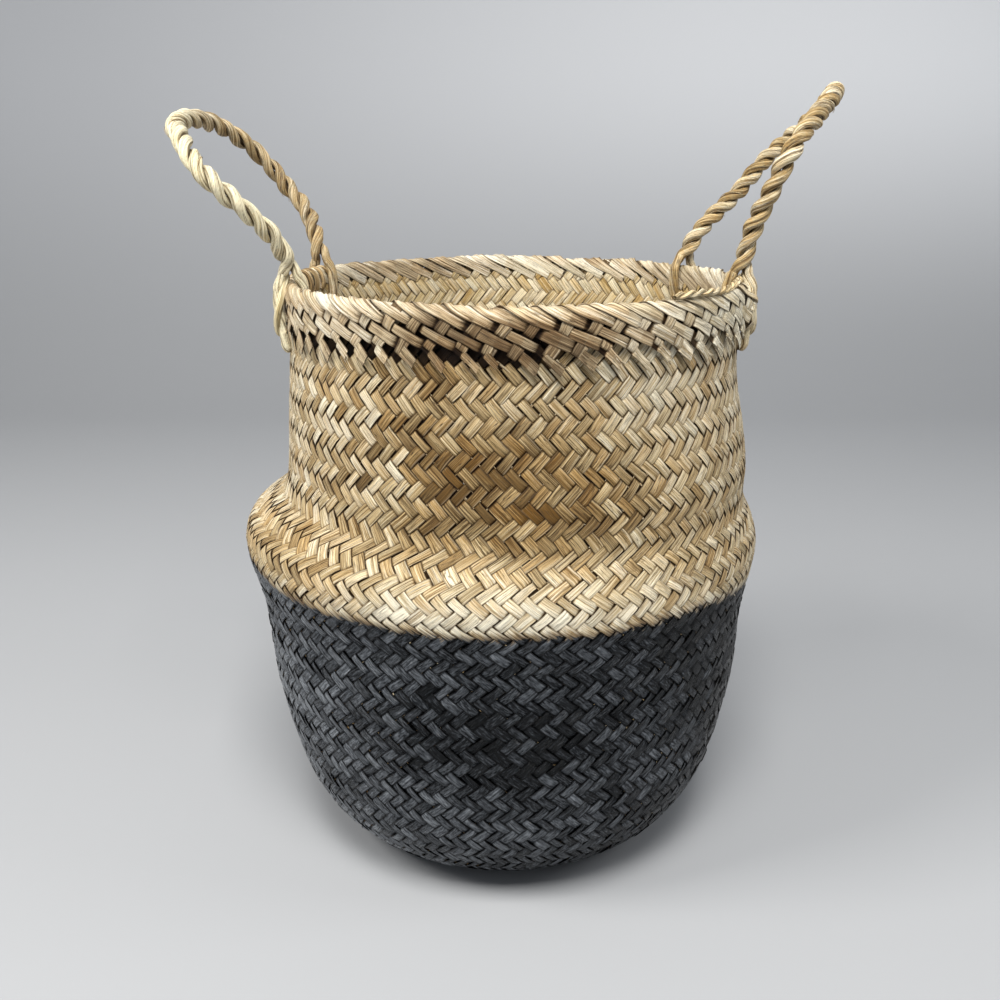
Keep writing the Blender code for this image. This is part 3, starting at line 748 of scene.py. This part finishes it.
# Middle lines of the two handles' loops from the front foot to the back foot, in millimetres
LEFT_LOOP = np.array((
    (-100.6, -32.0, 299.0), (-101.6, -32.6, 303.0), (-102.9, -36.5, 308.9), (-105.7, -40.9, 315.0),
    (-109.4, -45.3, 320.1), (-113.5, -48.9, 325.0), (-117.9, -51.3, 329.4), (-122.4, -53.0, 333.7),
    (-127.0, -54.0, 337.9), (-131.5, -53.5, 342.4), (-135.8, -50.5, 347.3), (-140.0, -44.5, 352.3),
    (-145.6, -33.5, 357.9), (-151.6, -18.0, 362.0), (-154.6, -1.0, 365.1), (-153.8, 15.0, 366.8),
    (-150.8, 29.0, 366.5), (-146.2, 41.5, 363.8), (-140.3, 51.5, 359.1), (-133.4, 58.5, 352.4),
    (-127.2, 62.0, 345.3), (-121.0, 63.4, 337.9), (-115.2, 62.0, 330.9), (-108.9, 58.0, 324.3),
    (-104.7, 53.0, 317.8), (-101.3, 46.5, 310.4), (-99.2, 42.5, 303.4), (-98.0, 41.1, 299.0),
))
RIGHT_LOOP = np.array((
    (111.0, -27.3, 299.0), (111.9, -27.4, 303.0), (112.6, -27.9, 309.1), (113.8, -29.5, 316.0),
    (115.6, -31.5, 322.4), (117.7, -34.0, 328.7), (119.9, -36.0, 334.8), (122.2, -37.5, 340.9),
    (124.7, -38.0, 346.8), (128.1, -36.5, 352.8), (132.3, -33.0, 358.3), (137.6, -27.0, 363.5),
    (143.8, -18.0, 368.7), (150.5, -6.0, 373.5), (156.4, 7.0, 377.5), (161.0, 20.0, 379.1),
    (164.0, 34.0, 378.5), (164.7, 47.0, 375.1), (162.9, 57.5, 369.6), (158.7, 64.5, 363.9),
    (153.3, 68.5, 358.4), (147.4, 70.0, 353.0), (141.6, 70.0, 347.6), (136.2, 69.0, 341.4),
    (130.9, 67.5, 334.9), (125.1, 65.5, 328.7), (118.2, 63.0, 322.5), (111.3, 60.5, 316.3),
    (105.1, 58.3, 309.1), (101.0, 57.2, 303.0), (99.2, 57.0, 299.0),
))
# Handle, azimuths of its front and back legs, loop, and length of one turn of the lay
ROPES = (("left", -73.0, -112.0, LEFT_LOOP, 23.5), ("right", 75.5, 121.5, RIGHT_LOOP, 19.5))
# Half a ply's thickness, sides of its section, and length from ring to ring
PLY_HALF = 2.35
PLY_SIDES = 36
PLY_STEP = 0.62
# Loose fibres of a ply, and the points of each
FRAYS = 9
FRAY_POINTS = 15
TUBE_SIDES = 7
# Half gap between the two runs of a strap at its foot, the foot's height, and the half gap by height
STRAP_REACH = 3.2
STRAP_LOW = 265.3
STRAP_GAPS = np.array((
    (265.3, 3.2), (282.0, 6.0), (291.0, 6.1), (293.5, 5.1), (296.0, 3.7), (299.0, 2.75), (302.5, 2.35),
))


def unit(rows):
    """Rows scaled to length one."""
    return rows / np.linalg.norm(rows, axis=-1)[..., None]


def circle(sides):
    """Angles of the corners of a round section."""
    return np.arange(sides) * 2 * math.pi / sides


def leg_rows(azimuth, foot):
    """Middle line, half gap and outward direction of a strap from its lowest point up to the loop's foot."""
    angle = math.radians(azimuth)
    radial = np.array((math.sin(angle), -math.cos(angle), 0.0))
    turns = np.linspace(math.pi / 2, 0.12, 9)
    straight = np.arange(STRAP_LOW, foot[2] - 0.5, 1.6)
    heights = np.concatenate((STRAP_LOW - STRAP_REACH * np.sin(turns), straight))
    gaps = np.concatenate((STRAP_REACH * np.cos(turns), read_table(STRAP_GAPS, straight)))
    radius = np.interp(heights, WALL.z, WALL.r) - WALL_HALF
    rows = radial[None, :] * radius[:, None] + np.array((RIM_SHIFT, 0.0, 0.0))
    rows[:, 2] = heights
    lean = np.clip((heights - 288.0) / (foot[2] - 288.0), 0, 1)[:, None] ** 2
    base = radial * radius[-1] + np.array((RIM_SHIFT, 0.0, foot[2]))
    rows = rows + lean * (np.array(foot) - base)
    return rows, gaps, radial


def tubes(name, paths, radii, refs, body, tan):
    """Thin round fibres along paths in millimetres, in one piece that rides on a body; for a body named after the
    neck and a handle it stays where it is, with its transform applied.
    """
    count, steps = radii.shape
    run = unit(np.gradient(paths, axis=1))
    side = unit(np.cross(run, refs[:, None, :]))
    up = np.cross(side, run)
    turn = circle(TUBE_SIDES)
    ring = side[:, :, None, :] * np.cos(turn)[:, None] + up[:, :, None, :] * np.sin(turn)[:, None]
    points = paths[:, :, None, :] + radii[:, :, None, None] * ring
    shape = points.shape[:-1]
    travelled = np.stack([arc_lengths(path) for path in paths])
    uv = strip_uv(turn / 14.0 + 0.2, travelled[:, :, None] * MM, shape)
    rng = np.random.default_rng(len(name) + count)
    values = point_values(shape, rng.random(count)[:, None, None], 0.5, tan)
    made = new_mesh(name, points.reshape(-1, 3) * MM, ring_faces(count, steps, TUBE_SIDES), uv, values, ROPE_STRAW)
    if body.startswith("neck handle"):
        body.split()[1]
        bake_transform(made)
    else:
        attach(made, body)


def rim_point(degrees, out, height):
    """Points beside the rim's edge by azimuth, distance outward from the wall's middle and height."""
    angle = np.radians(degrees)
    radius = RIM_WALL - WALL_HALF + out
    return np.stack((radius * np.sin(angle) + RIM_SHIFT, -radius * np.cos(angle), height + 0 * angle), axis=-1)


ROPE_FRAYS = {"left": [], "right": []}


def rope_ply(name, row, letter):
    """One ply: out of the wall, up one side of the rim, round the loop with its partner and back into the wall."""
    handle, front, back, loop, pitch = row
    rng = np.random.default_rng(600 + len(name) + ord(letter) + len(loop))
    phase = 0.0 if letter == "a" else math.pi
    low_rows, low_gaps, radial_front = leg_rows(front, loop[0])
    high_rows, high_gaps, radial_back = leg_rows(back, loop[-1])
    middle = smooth_table(loop)
    line = np.vstack((low_rows, middle, high_rows[::-1]))
    gaps = np.concatenate((low_gaps, read_table(STRAP_GAPS, middle[:, 2]), high_gaps[::-1]))
    travelled = arc_lengths(line)
    foot = travelled[len(low_rows)]
    far = travelled[len(low_rows) + len(middle) - 1]
    # walk at even steps of a ply's own travel: the strap's turns are short in height but not in length
    walk = travelled + np.concatenate(((0.0,), np.cumsum(np.abs(np.diff(gaps)))))
    grid = np.linspace(0.0, walk[-1], int(walk[-1] / PLY_STEP))
    line = np.stack([np.interp(grid, walk, line[:, axis]) for axis in range(3)], axis=-1)
    gaps = np.interp(grid, walk, gaps)
    travelled = np.interp(grid, walk, travelled)
    window = np.hanning(9)
    window /= window.sum()
    spare = len(window) // 2
    padded = np.pad(line, ((spare, spare), (0, 0)), "edge")
    line = np.stack([np.convolve(padded[:, axis], window, "valid") for axis in range(3)], axis=-1)
    tangent = unit(np.gradient(line, axis=0))
    face = np.zeros_like(line)
    current = radial_front
    for index, along in enumerate(tangent):
        current = unit(current - along * np.dot(current, along))
        face[index] = current
    side = np.cross(tangent, face)
    drift = math.atan2(np.dot(radial_back, side[-1]), np.dot(radial_back, face[-1]))
    total = round((2 * (far - foot) / pitch * math.pi - drift) / math.pi) * math.pi + drift
    share = np.clip((travelled - foot + 1.0) / (far - foot + 2.0), 0, 1)
    angle = phase + total * share + 0.22 * np.sin(travelled * 0.11 + len(loop)) * np.sin(share * math.pi)
    wobble = 1 + 0.07 * np.sin(travelled * 0.23 + phase * 2.1) + 0.05 * np.sin(travelled * 0.61 + phase)
    out = face * np.cos(angle)[:, None] + side * np.sin(angle)[:, None]
    centre = line + out * (gaps * np.where(gaps < 2.5, wobble, 1.0))[:, None]
    run = unit(np.gradient(centre, axis=0))
    toward = unit(run * np.sum(out * run, axis=1)[:, None] - out)
    beside = np.cross(run, toward)
    length = arc_lengths(centre)
    turn = circle(PLY_SIDES)
    spin = length[:, None] * 0.11 + turn[None, :]
    size = PLY_HALF * (1 + 0.05 * np.sin(length * 0.31 + phase * 3) + 0.04 * np.sin(length * 0.83 + phase))[:, None]
    crease = rng.uniform(0, TURN, 3)
    strand = spin * 1.5 + 0.5 * np.sin(spin + crease[0]) + 0.4 * np.sin(length * 0.13 + crease[2])[:, None]
    lobe = np.abs(np.sin(strand))
    fold = np.abs(np.sin(spin * 3.5 + crease[1] + 0.5 * np.sin(length * 0.21)[:, None]))
    relief = 0.20 * (lobe ** 0.6 - 0.70) + 0.07 * (fold ** 0.5 - 0.75)
    radius = size * (1 + relief)
    ends = np.clip(np.minimum(np.arange(len(length)), np.arange(len(length))[::-1]) / 3.0, 0.35, 1)[:, None]
    radius = radius * np.sqrt(ends)
    x_part = radius * np.cos(turn)[None, :] * 0.93
    y_part = radius * np.sin(turn)[None, :] * 1.12
    points = centre[:, None, :] + toward[:, None, :] * x_part[:, :, None] + beside[:, None, :] * y_part[:, :, None]
    away = np.linalg.norm(points - line[:, None, :], axis=-1)
    # painted shade where the two plies press together and in the valleys between strands and folds
    close = np.clip(1 - (gaps - 2.6) / 2.0, 0, 1)[:, None]
    shade = 1 - close * 0.80 * (1 - soft_step(away, 1.3, 3.6))
    shade = shade * (0.22 + 0.78 * soft_step(lobe, 0.02, 0.32)) * (0.62 + 0.38 * soft_step(fold, 0.0, 0.27))
    tones = rng.random(3)[np.floor(strand / math.pi).astype(int) % 3]
    for _ in range(FRAYS):
        first = int(rng.integers(len(length) // 5, len(length) * 4 // 5))
        angle_out = rng.uniform(0, TURN)
        lean = toward * math.cos(angle_out) + beside * math.sin(angle_out)
        part = slice(first, first + FRAY_POINTS)
        rise = np.linspace(0, 1, FRAY_POINTS)[:, None] ** 2 * rng.uniform(0.3, 1.3) + 2.25
        ROPE_FRAYS[handle].append(centre[part] + lean[part] * rise)
    caps = []
    for ring in (0, len(length) - 1):
        base = ring * PLY_SIDES
        for k in range(PLY_SIDES // 2 - 1):
            quad = (base + k, base + k + 1, base + PLY_SIDES - 2 - k, base + PLY_SIDES - 1 - k)
            caps.append(quad if ring else quad[::-1])
    faces = np.vstack((ring_faces(1, len(length), PLY_SIDES), np.array(caps)))
    # the streaks follow the ply's own twist and meet themselves behind it
    spun = np.abs((turn / (2 * math.pi) + length[:, None] * 0.012) % 1.0 * 2 - 1) * 0.8 + 0.1
    uv = strip_uv(spun, length[:, None] * MM + rng.random() * 2, shade.shape)
    cell = 0.6 * tones + 0.2 + 0.2 * np.sin(length * 0.19 + phase)[:, None]
    values = point_values(shade.shape, rng.random(), cell, rope_tan(points), shade=shade)
    made = new_mesh(name, points.reshape(-1, 3) * MM, faces, uv, values, ROPE_STRAW)
    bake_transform(made)
    return made


def rope_tan(points):
    """How brown the rope is: on the left loop a painted highlight pales the front leg and painted shade browns the
    back leg; the right loop is a little brown all over.
    """
    left = np.clip((-points[..., 0] - 60.0) / 10.0, 0, 1)
    back = np.clip((points[..., 1] + 5.0) / 30.0, 0, 1)
    return left * (back * 3.2 - 2.3) + (1 - left) * 0.1


for row in ROPES:
    for letter in "ab":
        ply = rope_ply("rope_%s_%s" % (row[0], letter), row, letter)
        if letter == "a":
            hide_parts("handle_%s_ply_a" % row[0], "handle_%s_ply_b" % row[0],
                        "strap_%s_front" % row[0], "strap_%s_back" % row[0])


for side_name, frays in ROPE_FRAYS.items():
    frays = np.array(frays)
    thin = np.full(frays.shape[:2], 0.30) * np.linspace(1.0, 0.35, FRAY_POINTS)
    sideways = np.tile((0.31, 0.22, 0.93), (len(frays), 1))
    tubes("rope_frays_" + side_name, frays, thin, sideways, "handle_" + side_name, 0.3)

# A second strand twisted with the outer run of each front strap
PARTNER_LOW = 268.0
for side_name, front, _, loop, _ in ROPES:
    rows, gaps, radial = leg_rows(front, loop[0])
    keep = rows[:, 2] > PARTNER_LOW
    outer_run = rows[keep] + radial * gaps[keep][:, None]
    level = (rows[keep][:, 2] - PARTNER_LOW) / (loop[0][2] - PARTNER_LOW)
    beside = np.array((-radial[1], radial[0], 0.0)) * (1.0 if side_name == "left" else -1.0)
    spiral = 2.2 - 4.6 * level
    partner = outer_run + 3.1 * (np.cos(spiral)[:, None] * beside + np.sin(spiral)[:, None] * radial * 0.8)
    thick = 1.75 * np.clip(np.minimum(level, 1 - level) * 9.0 + 0.25, 0.25, 1.0)
    tubes("strap_strand_" + side_name, partner[None], thick[None], beside[None], "neck handle_" + side_name,
          -1.7 if side_name == "left" else 0.2)

# A thin strand wound round the rim at the left back leg
wound = np.linspace(0, 1, 230)
winding = wound * 50.0 + 0.9 * np.sin(wound * 17.0) + 0.5 * np.sin(wound * 41.0)
azimuth = -95.0 - 17.0 * wound + 0.8 * np.sin(winding * 0.5)
coil = rim_point(azimuth, 4.7 * np.cos(winding), 286.9 + 6.5 * np.sin(winding))
coil_turn = math.radians(-103.0)
coil_axis = np.array((math.cos(coil_turn), math.sin(coil_turn), 0.0))
tubes("rim_wrap_left", coil[None], np.full((1, len(wound)), 0.95), coil_axis[None], "neck", 1.9)

# Two thin strands laid together along the rim beside the right front leg
laid = np.linspace(0, 1, 260)
strands = np.stack([rim_point(36.0 + 50.0 * laid, 0.9 + 0.9 * np.cos(laid * 44.0 + turn) + 1.1 * np.sin(laid * 7.0),
                              293.9 + 0.9 * np.sin(laid * 44.0 + turn) + 0.5 * np.sin(laid * 11.0))
                    for turn in (0.0, math.pi)])
tubes("rim_strands_right", strands, np.full((2, len(laid)), 0.90), np.tile((0.0, 0.0, 1.0), (2, 1)), "neck", 0.6)

# The base: spacing, number and rings of its strips each way, its radius, and the height above the paint's edge that
# makes it painted all over
BASE_SPACING = 4.9
BASE_STRIPS = 30
BASE_RINGS = 150
BASE_RADIUS = 75.5
BASE_PAINT = -30.0


def base_strips(name, turn):
    """Strips of the flat base, woven over two and under two at a slant to the wall's."""
    angle = math.radians(45.0 if turn else -45.0)
    rng = np.random.default_rng(70 + turn)
    rank = np.arange(BASE_STRIPS)[:, None]
    middles = (rank - (BASE_STRIPS - 1) / 2.0) * BASE_SPACING
    s = np.linspace(-1, 1, BASE_RINGS) * np.sqrt(BASE_RADIUS ** 2 - middles ** 2)
    crossing = s / BASE_SPACING + (BASE_STRIPS - 1) / 2.0
    wave = (float_wave(crossing + rank) if turn else -float_wave(rank - crossing - 1.0))[:, :, None]
    half = 0.5 * BASE_SPACING * 0.94 * rng.normal(1, 0.05, BASE_STRIPS)[:, None, None]
    across = middles[:, :, None] + half * ACROSS + 0.12 * np.sin(s * 0.2 + rank)[:, :, None]
    lift = wave * (0.42 + 0.05 * ARCH) + 0.18 * FACE
    along = s[:, :, None]
    x = along * math.cos(angle) - across * math.sin(angle)
    y = along * math.sin(angle) + across * math.cos(angle)
    z = np.maximum(1.0 - lift, 0.12) + 0.35 * np.clip(1 - np.hypot(x, y) / 60.0, 0, 1)
    points = np.stack((x, y, z), axis=-1).reshape(-1, 3) * MM
    strip_random = rng.random(BASE_STRIPS)[:, None, None]
    uv = strip_uv(ACROSS * 0.5 + 0.5, along * MM + strip_random * 3.0, lift.shape)
    cell = (0.5 + 0.5 * np.sin(crossing * 3.1 + rank * 1.7))[:, :, None]
    values = point_values(lift.shape, strip_random, cell, 0.0, BASE_PAINT, wave * FACE)
    made = new_mesh(name, points, ring_faces(BASE_STRIPS, BASE_RINGS, SECTION), uv, values, WALL_STRAW, True)
    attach(made, "belly")


base_strips("base_one", 1)
base_strips("base_two", 0)


def studio():
    """Pale curved floor, soft lights and the photograph's camera."""
    scene = bpy.context.scene
    floor_material, tree, shader = node_tree("studio_floor")
    n = Nodes(tree)
    across, _, up = n.split(n.new("ShaderNodeTexCoord").outputs["Object"])
    # painted light on the backdrop: its wall is paler to the right than to the left
    wall_color = n.mix(n.step(across, -0.8, 1.0), (0.515, 0.522, 0.537, 1.0), (0.860, 0.868, 0.882, 1.0))
    floor_color = (0.365, 0.370, 0.378, 1.0)
    n.put(shader.inputs["Base Color"], n.mix(n.step(up, 0.0, 0.55), floor_color, wall_color))
    shader.inputs["Roughness"].default_value = 0.85
    # floor, curve of a quarter turn and wall, by depth and height
    bend, radius = 0.9, 0.6
    profile = [(-1.6, 0.0)]
    for angle in np.linspace(0, math.pi / 2, 13):
        profile.append((bend + radius * math.sin(angle), radius - radius * math.cos(angle)))
    profile.append((bend + radius, 2.6))
    points = [(side * 3.0, y, z) for y, z in profile for side in (-1, 1)]
    faces = [(i * 2, i * 2 + 1, i * 2 + 3, i * 2 + 2) for i in range(len(profile) - 1)]
    mesh = bpy.data.meshes.new("studio_sweep")
    mesh.from_pydata(points, [], faces)
    mesh.shade_smooth()
    sweep = bpy.data.objects.new("studio_sweep", mesh)
    scene.collection.objects.link(sweep)
    mesh.materials.append(floor_material)

    world = bpy.data.worlds.new("studio_world")
    scene.world = world
    world.use_nodes = True
    world.node_tree.nodes["Background"].inputs[0].default_value = (0.80, 0.85, 0.92, 1.0)
    world.node_tree.nodes["Background"].inputs[1].default_value = 0.36

    def lamp(name, place, aim, size, power, color):
        light = bpy.data.lights.new(name, "AREA")
        light.shape = "RECTANGLE"
        light.size, light.size_y = size
        light.energy = power
        light.color = color
        made = bpy.data.objects.new(name, light)
        made.location = place
        made.rotation_euler = (Vector(aim) - Vector(place)).to_track_quat("-Z", "Y").to_euler()
        scene.collection.objects.link(made)

    lamp("key", (-0.95, -0.45, 1.15), (0, 0, 0.2), (0.45, 0.45), 14.0, (1.0, 0.985, 0.96))
    lamp("side", (1.15, -0.25, 0.95), (0, 0, 0.2), (0.5, 0.5), 4.0, (0.98, 0.99, 1.0))
    lamp("top", (0.0, -0.70, 1.35), (0, 0, 0.2), (0.5, 0.5), 24.0, (1.0, 0.99, 0.97))

    camera_data = bpy.data.cameras.new("photo_camera")
    camera_data.sensor_width = 36.0
    camera_data.lens = 37.39
    camera_data.clip_start = 0.01
    camera = bpy.data.objects.new("photo_camera", camera_data)
    camera.location = (-0.00254, -0.5246, 0.34925)
    camera.rotation_euler = (math.radians(90.0 - 18.31), 0.0, 0.0)
    scene.collection.objects.link(camera)
    scene.camera = camera
    scene.view_settings.view_transform = "Standard"


studio()
